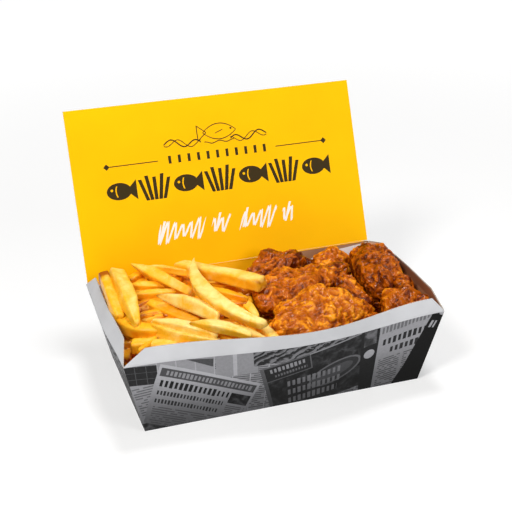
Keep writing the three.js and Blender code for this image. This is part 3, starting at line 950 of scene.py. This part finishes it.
def add_chip(skin, row, rng, noise, rings=26, sides=24, margin=0.9, deep=0.0):
    """One chip: a squarish section, the curve |x|^p + |y|^p = 1, carried along a bent line, drawn in towards
    its ends, twisted a little, wedge-shaped, and closed by slanted cuts. Its faces are faintly hollow."""
    ax, ay, az, bx, by, bz, width, start_full, end_full, bend, lift_bend, *browned, tone = row
    start, end = np.array([ax, ay, az], float), np.array([bx, by, bz], float)
    length = np.linalg.norm(end - start)
    along = (end - start) / length
    across = np.array([-along[1], along[0], 0.0])
    across /= np.linalg.norm(across)
    rise = np.cross(along, across)
    s, angle = np.meshgrid(
        0.5 - 0.5 * np.cos(np.linspace(0, np.pi, rings)), np.linspace(0, 2 * np.pi, sides + 1),
        indexing="ij")
    power = rng.uniform(3.8, 6.5)
    section = (np.abs(np.cos(angle)) ** power + np.abs(np.sin(angle)) ** power) ** (-1 / power)
    corner = (section - 1) / (2 ** (0.5 - 1 / power) - 1)
    section = section * (1 - 0.05 * (1 - corner))
    taper = np.minimum(mix(start_full, 1, np.clip(s * 2.6, 0, 1) ** 0.8),
                       mix(end_full, 1, np.clip((1 - s) * 2.6, 0, 1) ** 0.8))
    cap = rng.uniform(1.4, 2.6) / length
    ends = np.clip(np.minimum(s, 1 - s) / cap, 0, 1)
    close = (1 - (1 - ends) ** 2.6) ** (1 / 2.6)
    wobble = 1 + 0.05 * np.sin(5 * s + rng.uniform(0, 6))
    wobble = wobble + 0.03 * np.sin(11 * s + 2 * angle + rng.uniform(0, 6))
    size = width / 2 * taper * close * wobble * 0.93
    side = section * np.cos(angle) * size
    lift = section * np.sin(angle) * size * rng.uniform(0.84, 1.0)
    side = side * (1 - rng.uniform(-0.16, 0.16) * np.sin(angle))
    twist = rng.uniform(-0.3, 0.3) + rng.uniform(-0.35, 0.35) * s
    side, lift = side * np.cos(twist) - lift * np.sin(twist), side * np.sin(twist) + lift * np.cos(twist)
    slope = np.where(s < 0.5, rng.uniform(-0.55, 0.55), rng.uniform(-0.55, 0.55))
    shift = slope * side * (1 - np.clip(np.minimum(s, 1 - s) * 5, 0, 1))
    middle = start + (s * length + shift)[..., None] * along
    arch = 4 * s * (1 - s)
    middle = middle + (bend * arch)[..., None] * across + (lift_bend * arch)[..., None] * rise
    points = middle + side[..., None] * across + lift[..., None] * rise
    flat = points.reshape(-1, 3)
    bumps = 0.34 * noise(flat, 7.0) + 0.16 * noise(flat, 2.4)
    outward = (flat - middle.reshape(-1, 3))
    outward /= np.linalg.norm(outward, axis=1, keepdims=True) + 1e-6
    points = (flat + outward * bumps[:, None] * close.reshape(-1, 1)).reshape(points.shape)
    tip = browned[0] * np.exp(-s * length / 6.0) + browned[1] * np.exp(-(1 - s) * length / 6.0)
    # deep and the side attribute are painted shade: deep darkens chips lower in the heap, the other darkens
    # each chip's sides.
    skin.grid(
        keep_inside(points, margin), np.stack([angle / 6.3 * width * 3.4, s * length], axis=-1), 0,
        tip=tip, corner=np.clip(corner, 0, 1),
        tone=tone, deep=deep, flank=np.abs(np.cos(angle)) ** 2)


def potato_material(settings):
    """Fried potato: pale faces, deeper yellow in patches, browned tips and edges, with fine wrinkles and a
    soft
    oily shine. Painted shade: the sides of each chip, and the chips lower in the heap, are painted deeper
    yellow and browner."""
    m = Maker("potato_look")
    vector, _ = m.place()
    tip, corner, tone, deep, flank = (
        m.attribute(name) for name in ("tip", "corner", "tone", "deep", "flank"))
    patch = m.noise(vector, 12.0, 4.0, 0.6, 0.4)
    grain = m.noise(vector, 1.6, 5.0, 0.6)
    wrinkle = m.noise(vector, 3.4, 3.0, 0.6, 1.2)
    # Painted shade: deep (lower in the heap) and the sides of each chip push the colour to deeper yellow.
    yellowing_and_painted_shade = (patch - 0.5) * 1.5 + tone * 0.7 + (grain - 0.5) * 0.3 + deep * 0.8 + flank * 0.35
    shade = m.mix(yellowing_and_painted_shade.ramp(-0.15, 0.55), tuple(settings.potato_pale), tuple(settings.potato_mid))
    shade = m.mix(yellowing_and_painted_shade.ramp(0.40, 1.20), shade, tuple(settings.potato_deep))
    # deep also browns the lower chips: painted shade.
    browning_and_painted_shade = tip * 0.95 + (corner ** 2.0) * 0.30 + (patch - 0.5) * 0.8 + (grain - 0.5) * 0.3 + deep * 0.5
    shade = m.mix(browning_and_painted_shade.ramp(0.36, 1.25), shade, tuple(settings.potato_brown))
    speck = (m.cells(vector, 3.1) < 0.13) * (patch > 0.52)
    shade = m.mix(speck * 0.3, shade, tuple(settings.potato_brown))
    height = grain * 0.35 + wrinkle * 0.65
    return m.finish(
        Base_Color=shade, Roughness=(0.50 - patch * 0.24) + (grain - 0.5) * 0.2,
        Normal=m.bump(height, 0.3, 0.5), Subsurface_Weight=0.08, Subsurface_Radius=(1.0, 0.4, 0.05),
        Subsurface_Scale=0.002, Coat_Weight=patch.ramp(0.35, 0.7) * 0.2, Coat_Roughness=0.25,
        Specular_IOR_Level=0.35)


def make_top_chips(settings):
    """The chips on top of the heap, laid one by one from the list."""
    rng, noise = np.random.RandomState(settings.seed), Perlin(settings.seed)
    skin = Skin()
    for x, y, z, length, heading, rise, *form in TOP_CHIPS:
        turn = math.radians(heading)
        half = np.array([length * math.cos(turn), length * math.sin(turn), rise]) / 2
        row = [*(np.array([x, y, z]) - half), *(np.array([x, y, z]) + half), *form]
        add_chip(skin, row, rng, noise, rings=40, sides=40)
    chips = skin.build("chips_top", [potato_material(settings)])
    return place(chips, "tray", "fried_potato", "chips_heap")


def make_lower_chips(settings):
    """The chips under the top ones: they lie at random just below the heap's surface, inside the walls."""
    rng, noise = np.random.RandomState(settings.seed + 1), Perlin(settings.seed + 1)
    skin = Skin()
    for index in range(settings.under_chips):
        bed = index % 10 < BED_TENTHS
        x = rng.uniform(*(BED_X if bed else HEAP_X))
        y = rng.uniform(*FILL_Y)
        turn = rng.uniform(0, np.pi)
        reach = rng.uniform(22, 34)
        away = np.array([math.cos(turn), math.sin(turn)]) * reach
        z = heap_height(x, y) - rng.uniform(2.5, 10.0) - 8.0 * smooth_step(-x - 0.4 * y, 100.0, 135.0)
        tilt = rng.uniform(-3.5, 3.5)
        ends = np.array([[x - away[0], y - away[1], z - tilt], [x + away[0], y + away[1], z + tilt]])
        ends = keep_inside(ends, 8.0)
        if not bed:
            ends[:, 0] = np.minimum(ends[:, 0], np.where(ends[:, 1] < 4, -8.0, 9.0))
        if np.linalg.norm(ends[1] - ends[0]) < 24:
            continue
        row = [*ends[0], *ends[1], rng.uniform(8.0, 11.0), rng.uniform(0.4, 0.9), rng.uniform(0.4, 0.9),
               rng.uniform(-3, 3), rng.uniform(-1, 2), *rng.uniform(0, 1, 3)]
        # Painted shade: deep paints each lower chip deeper yellow and browner for its place under the top
        # chips.
        add_chip(skin, row, rng, noise, rings=18, sides=16, margin=1.2, deep=rng.uniform(0.25, 0.8))
    chips = skin.build("chips_below", [bpy.data.materials["potato_look"]])
    return place(chips, "tray", "fried_potato")


def make_chip_core(settings):
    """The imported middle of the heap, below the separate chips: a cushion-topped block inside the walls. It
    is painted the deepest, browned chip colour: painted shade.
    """
    noise = Perlin(settings.seed + 2)
    u, w = np.meshgrid(np.linspace(-1, 1, 61), np.linspace(-1, 1, 37))
    x, y = u * (RIM[0] - 6), w * (RIM[1] - 6)
    lumps = noise(stack(x, y, 0).reshape(-1, 3), 11.0).reshape(x.shape)
    top = keep_inside(stack(x, y, heap_height(x, y) - CORE_DROP + 2.2 * lumps), 2.5)
    foot = keep_inside(stack(x, y, 1.6), 2.5)
    skin = Skin()
    # Painted shade: the block takes deep 1, the darkest chip colour.
    for layer in (top, foot):
        skin.grid(layer, tip=0.2, corner=0, tone=0.9, deep=1.0, flank=0)
    for line in RIM_LINES:
        side = mix(foot[line][None], top[line][None], np.linspace(0, 1, 8)[:, None, None])
        skin.grid(side, tip=0.2, corner=0, tone=0.9, deep=1.0, flank=0)
    core = skin.build("chips_core", [bpy.data.materials["potato_look"]])
    return place(core, "tray", "fried_potato")


# ================================================================ battered pieces
def cube_sphere(steps):
    """Unit directions on six square grids, spread evenly by a tangent, one for each side of a cube."""
    a, b = np.meshgrid(*[np.tan(np.linspace(-1, 1, steps + 1) * np.pi / 4)] * 2)
    one = np.ones_like(a)
    for sign in (-1, 1):
        for order in ((one * sign, a, b), (b, one * sign, a), (a, b, one * sign)):
            grid = np.stack(order, axis=-1)
            yield grid / np.linalg.norm(grid, axis=-1, keepdims=True)


def crust(points, normals, noise, size=1.0):
    """Craggy batter: points move along their normals by the sum of two sizes of broad lumps, puffs and beads
    with narrow creases between them (the root of folded noise), knots, low flakes and fine grit. Also
    returns how deep each point lies, 0 on top and 1 in a crease."""
    warp = np.stack([noise(points + k, 7.0) for k in (11.0, 47.0, 83.0)], axis=1) * 4.0
    lumps = noise(points, 21.0) * 3.4 + noise(points + 53.0, 11.0) * 1.3
    puffs = np.sqrt(np.abs(noise(points + warp, 9.0)) + 0.01)
    knots = noise(points + warp * 0.8 + 31.0, 4.4)
    beads = np.sqrt(np.abs(noise(points + warp * 0.4 + 67.0, 2.6)) + 0.01)
    flakes = smooth_step(noise(points + warp * 1.3, 5.4), 0.05, 0.25)
    grit = noise(points, 1.4) * 0.3
    relief = 1.1 * puffs + 1.2 * knots + 0.5 * beads + 0.6 * flakes
    move = (lumps + relief + grit - 2.0) * size
    low, high = np.percentile(relief, (3, 97))
    return points + normals * move[:, None], 1 - np.clip((relief - low) / (high - low), 0, 1)


def spin_matrix(turn, tilt):
    """Turn about Z after a tilt about X, both in degrees."""
    return np.array(
        Matrix.Rotation(math.radians(turn), 3, "Z") @ Matrix.Rotation(math.radians(tilt), 3, "X"))


def closeness(points, others):
    """1 inside another egg shape, falling to 0 a third of its size away from it."""
    near = np.zeros(len(points))
    for middle, half, turn, tilt, *_ in others:
        local = (points - np.array(middle, float)) @ spin_matrix(turn, tilt) / np.array(half, float)
        near = np.maximum(near, 1 - smooth_step(np.linalg.norm(local, axis=1), 1.0, 1.3))
    return near


def add_lump(skin, middle, half, turn, tilt, seed, tone, noise, steps, size=1.0, others=()):
    """One craggy lump: an egg shape swollen by crossing waves, then covered in crust. It draws in where it
    meets the others, and its pit value rises there, which the crust material paints as shade."""
    spin = spin_matrix(turn, tilt)
    half = np.array(half, float)
    for p in cube_sphere(steps):
        shape = p.shape
        p = p.reshape(-1, 3)
        swell = (1 + 0.09 * np.sin(3.1 * p[:, 0] + seed) * np.cos(2.7 * p[:, 1] - seed)
                 + 0.05 * np.sin(5.3 * p[:, 1] + 1.7 * seed + 2 * p[:, 2])
                 + 0.035 * np.cos(7.9 * p[:, 0] - 2.3 * seed + 3 * p[:, 2]))
        body = (p * half * swell[:, None]) @ spin.T + np.array(middle, float)
        normals = (p / half) @ spin.T
        normals /= np.linalg.norm(normals, axis=1, keepdims=True)
        near = closeness(body, others)
        body, pit = crust(body - normals * (near * 0.6)[:, None], normals, noise, size)
        # Painted shade: pit rises where the lump meets the others.
        pit = np.clip(pit + near * 0.5, 0, 1.5)
        body = keep_inside(body, 0.8)
        skin.grid(body.reshape(shape), pit=pit.reshape(shape[:2]), tone=tone)


def batter_material(settings):
    """Glazed fried batter: golden flakes and brown slopes, in patches, with an oily coat. The pits, creases
    and the places where pieces meet are painted near-black: painted shade.
    """
    m = Maker("crust_look")
    vector, _ = m.place()
    pit, tone = m.attribute("pit"), m.attribute("tone")
    patch = m.noise(vector, 10.0, 4.0, 0.6, 0.5)
    fine = m.noise(vector, 2.4, 5.0, 0.65, 0.3)
    grit = m.noise(vector, 0.8, 3.0, 0.6)
    # Painted shade: pit, from creases and from where pieces meet, darkens the crust and lightens its tops.
    light = (1 - pit) * 0.75 + (patch - 0.5) * 2.3 + (fine - 0.5) * 0.9 + (tone - 0.5) * 0.9 - 0.06
    shade = m.mix(light.ramp(-0.35, 0.45), tuple(settings.crust_dark), tuple(settings.crust_mid))
    shade = m.mix(light.ramp(0.40, 1.15), shade, tuple(settings.crust_light))
    dark_patches_and_pit_shade = (pit * 0.9 + (fine - 0.5) * 1.3 + (patch - 0.5) * 0.8).ramp(0.70, 1.2)
    shade = m.mix(dark_patches_and_pit_shade * 0.7, shade, tuple(settings.crust_dark))
    return m.finish(
        Base_Color=shade, Roughness=(0.18 + patch * 0.22) + (fine - 0.5) * 0.3,
        Normal=m.bump(fine * 0.6 + grit * 0.4, 0.75, 0.7), Subsurface_Weight=0.06,
        Subsurface_Radius=(1.0, 0.3, 0.05), Subsurface_Scale=0.002,
        Coat_Weight=0.24, Coat_Roughness=0.1, Specular_IOR_Level=0.16)


def make_pieces(settings):
    """The battered pieces, each with its knobs, one object for each piece."""
    material = batter_material(settings)
    for number, (name, row) in enumerate(PIECES.items()):
        middle, half, turn, tilt, seed, tone = row
        skin = Skin()
        steps = int(np.clip(2.4 * max(half), *PIECE_STEPS))
        others = [PIECES[other] for other in PIECES if other != name]
        noise = Perlin(20 + number)
        add_lump(skin, middle, half, turn, tilt, seed, tone, noise, steps, others=others)
        for owner, spot, reach, knob_tone in KNOBS:
            if owner == name:
                add_lump(skin, spot, reach, 0, 0, seed + spot[0], knob_tone, noise, KNOB_STEPS,
                         size=0.8)
        piece = skin.build("crust_" + name.replace("battered_piece_", ""), [material])
        place(piece, "tray", "fried_batter", name)


def make_crumbs(settings):
    """Loose crumbs of batter on the chips and between the pieces."""
    rng, noise = np.random.RandomState(settings.seed + 5), Perlin(settings.seed + 5)
    skin = Skin()
    for _ in range(CRUMBS):
        x, y = rng.uniform(-20, 96), rng.uniform(-68, 40)
        z = heap_height(x, y) + rng.uniform(3, 9)
        half = rng.uniform(1.4, 3.4, 3)
        add_lump(skin, (x, y, z), half, rng.uniform(0, 180), rng.uniform(0, 90), rng.uniform(0, 9),
                 rng.uniform(0.2, 0.8), noise, 8, size=0.35)
    crumbs = skin.build("batter_crumbs", [bpy.data.materials["crust_look"]])
    return place(crumbs, "tray", "fried_batter")


# ================================================================ stage
CAMERA = {"place": (-0.2409, -0.7655, 0.4525), "turn": 17.35, "down": 23.76, "roll": -1.61, "lens": 79.2}


# Lamps: place, aim, disc size, power and tint.
LIGHTS = {
    "key_light": ((-0.85, -0.75, 1.25), (0, 0, 0.06), 0.5, 15.5, (1.0, 0.985, 0.96)),
    "fill_light": ((0.75, -1.3, 0.75), (0, 0, 0.06), 0.8, 8.0, (1.0, 1.0, 1.0)),
    "top_light": ((0.15, 0.2, 1.4), (0, 0, 0.05), 0.4, 8.5, (1.0, 1.0, 1.0)),
}
SKY_STRENGTH = 0.17
FLOOR_HALF, FLOOR_DROP = 4000, 0.4    # in millimetres


def make_stage():
    """A pale floor that glows more with distance, three disc lamps, a faint even sky and the camera."""
    scene = bpy.context.scene
    scene.view_settings.view_transform = "Standard"

    paper = Maker("pale_floor")
    _, (px, py, _) = paper.place()
    away = (px * px + py * py) ** 0.5
    glow = paper.mix(away.ramp(350.0, 1500.0), (0.56, 0.56, 0.56), (1.0, 1.0, 1.0))
    floor_look = paper.finish(
        Base_Color=(0.60, 0.60, 0.60), Roughness=0.9, Specular_IOR_Level=0.1,
        Emission_Color=glow, Emission_Strength=0.8)
    line = np.linspace(-FLOOR_HALF, FLOOR_HALF, 9)
    x, y = np.meshgrid(line, line)
    floor = Skin().grid(stack(x, y, -FLOOR_DROP)).build("floor", [floor_look])
    if floor.data.polygons[0].normal.z < 0:
        floor.data.flip_normals()

    world = bpy.data.worlds.new("soft_sky")
    world.use_nodes = True
    sky = world.node_tree.nodes["Background"]
    sky.inputs["Color"].default_value = (1.0, 1.0, 1.0, 1)
    sky.inputs["Strength"].default_value = SKY_STRENGTH
    scene.world = world

    for name, row in LIGHTS.items():
        add_light(name, *row)

    turn, down, roll = (math.radians(CAMERA[key]) for key in ("turn", "down", "roll"))
    ahead = Vector((math.sin(turn) * math.cos(down), math.cos(turn) * math.cos(down), -math.sin(down)))
    level = Vector((math.cos(turn), -math.sin(turn), 0))
    above = level.cross(ahead)
    right = level * math.cos(roll) + above * math.sin(roll)
    up = above * math.cos(roll) - level * math.sin(roll)
    lens = bpy.data.cameras.new("camera")
    lens.sensor_width = 36
    lens.lens = CAMERA["lens"]
    lens.clip_start = 0.05
    camera = bpy.data.objects.new("camera", lens)
    scene.collection.objects.link(camera)
    facing = Matrix((right, up, -ahead)).transposed().to_4x4()
    camera.matrix_world = Matrix.Translation(CAMERA["place"]) @ facing
    scene.camera = camera


def add_light(name, place_at, aim, size, power, tint):
    """A disc lamp that faces its aim."""
    lamp = bpy.data.lights.new(name, "AREA")
    lamp.shape = "DISK"
    lamp.size = size
    lamp.energy = power
    lamp.color = tint
    obj = bpy.data.objects.new(name, lamp)
    bpy.context.scene.collection.objects.link(obj)
    obj.location = place_at
    obj.rotation_euler = (Vector(aim) - Vector(place_at)).to_track_quat("-Z", "Y").to_euler()


# ================================================================ operators
class FISHBOX_OT_box(bpy.types.Operator):
    """Folds the tray, with its glue flaps and the hinge fold"""
    bl_idname = "fishbox.box"
    bl_label = "Make the tray"
    bl_options = {"REGISTER", "UNDO"}

    def execute(self, context):
        settings = context.scene.fish_box
        make_tray(settings)
        make_glue_tabs(settings)
        make_hinge_fold(settings)
        return {"FINISHED"}


class FISHBOX_OT_lid(bpy.types.Operator):
    """Makes the printed lid"""
    bl_idname = "fishbox.lid"
    bl_label = "Make the lid"
    bl_options = {"REGISTER", "UNDO"}

    def execute(self, context):
        settings = context.scene.fish_box
        make_lid(settings)
        return {"FINISHED"}


class FISHBOX_OT_chips(bpy.types.Operator):
    """Fries the chips: the top ones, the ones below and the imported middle"""
    bl_idname = "fishbox.chips"
    bl_label = "Make the chips"
    bl_options = {"REGISTER", "UNDO"}

    def execute(self, context):
        settings = context.scene.fish_box
        make_top_chips(settings)
        make_lower_chips(settings)
        make_chip_core(settings)
        return {"FINISHED"}


class FISHBOX_OT_pieces(bpy.types.Operator):
    """Makes the battered pieces and their crumbs"""
    bl_idname = "fishbox.pieces"
    bl_label = "Make the battered pieces"
    bl_options = {"REGISTER", "UNDO"}

    def execute(self, context):
        settings = context.scene.fish_box
        make_pieces(settings)
        make_crumbs(settings)
        return {"FINISHED"}


class FISHBOX_OT_stage(bpy.types.Operator):
    """Sets the floor, the lights and the camera"""
    bl_idname = "fishbox.stage"
    bl_label = "Set the stage"
    bl_options = {"REGISTER", "UNDO"}

    def execute(self, context):
        make_stage()
        return {"FINISHED"}


class FISHBOX_PT_panel(bpy.types.Panel):
    """Lists the settings and the steps"""
    bl_idname = "FISHBOX_PT_panel"
    bl_label = "Fish and chips box"
    bl_space_type = "VIEW_3D"
    bl_region_type = "UI"
    bl_category = "Food box"

    def draw(self, context):
        settings = context.scene.fish_box
        for name in FISHBOX_PG_settings.__annotations__:
            self.layout.prop(settings, name)
        for step in STEPS:
            self.layout.operator(step.bl_idname)


STEPS = (FISHBOX_OT_stage, FISHBOX_OT_box, FISHBOX_OT_lid, FISHBOX_OT_chips, FISHBOX_OT_pieces)
CLASSES = (FISHBOX_PG_settings, *STEPS, FISHBOX_PT_panel)


def register():
    for item in CLASSES:
        bpy.utils.register_class(item)
    bpy.types.Scene.fish_box = PointerProperty(type=FISHBOX_PG_settings)


def unregister():
    del bpy.types.Scene.fish_box
    for item in reversed(CLASSES):
        bpy.utils.unregister_class(item)


def main():
    register()
    for step in STEPS:
        group, name = step.bl_idname.split(".")
        getattr(getattr(bpy.ops, group), name)()
    bpy.context.view_layer.update()


if __name__ == "__main__":
    main()
